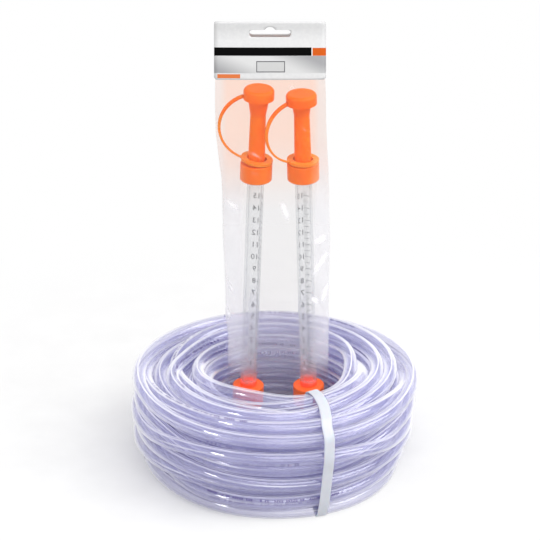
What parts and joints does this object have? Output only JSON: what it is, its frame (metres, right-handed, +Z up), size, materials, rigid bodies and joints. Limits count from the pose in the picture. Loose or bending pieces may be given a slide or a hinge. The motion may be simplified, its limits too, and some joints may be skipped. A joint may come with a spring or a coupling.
{
  "type": "water level hose set",
  "caption": "Tied coil of clear hose for a water level, with a bagged pair of graduated level tubes, their stoppers and hose barbs, standing in the coil's eye.",
  "frame": {"origin": "middle of the coil's base, on the surface it lies on", "axes": "+Z up along the coil's axis; -Y is the front, which the bag and its card face; +X to the right seen from the front"},
  "size_m": [0.212, 0.212, 0.3414],
  "materials": {
    "hose_pvc": "clear soft PVC with a faint violet tint",
    "strap_plastic": "white strapping tape",
    "bag_polythene": "thin clear film",
    "card_paper": "coated card",
    "tube_clear": "clear rigid plastic with a printed scale",
    "cap_orange": "moulded orange polythene",
    "tether_orange": "thin moulded orange polythene",
    "seal_rubber": "soft black rubber"
  },
  "bodies": {
    "coil": {"hose_winding": "hose_pvc", "hose_core": "hose_pvc", "hose_end_a": "hose_pvc", "hose_end_b": "hose_pvc", "strap_band": "strap_plastic"},
    "indicator_pack": {"bag_film": "bag_polythene", "header_card": "card_paper", "left_tube": "tube_clear", "left_spout_cap": "cap_orange", "left_top_seal": "seal_rubber", "left_tether_ring": "tether_orange", "left_tether_strap": "tether_orange", "left_hose_fitting": "cap_orange", "left_bottom_seal": "seal_rubber", "right_tube": "tube_clear", "right_spout_cap": "cap_orange", "right_top_seal": "seal_rubber", "right_tether_ring": "tether_orange", "right_tether_strap": "tether_orange", "right_hose_fitting": "cap_orange", "right_bottom_seal": "seal_rubber"},
    "left_plug": {"left_stopper": "cap_orange"},
    "right_plug": {"right_stopper": "cap_orange"}
  },
  "joints": [
    {"name": "pack_lift", "type": "slide", "parent": "coil", "child": "indicator_pack", "axis": [0, 0, 1], "range_m": [0, 0.1]},
    {"name": "left_stopper_pull", "type": "slide", "parent": "indicator_pack", "child": "left_plug", "axis": [0.035, 0, 0.9994], "range_m": [-0.004, 0.006], "deforming": ["left_tether_strap"]},
    {"name": "right_stopper_pull", "type": "slide", "parent": "indicator_pack", "child": "right_plug", "axis": [-0.028, 0, 0.9996], "range_m": [0, 0.01], "deforming": ["right_tether_strap"]}
  ]
}
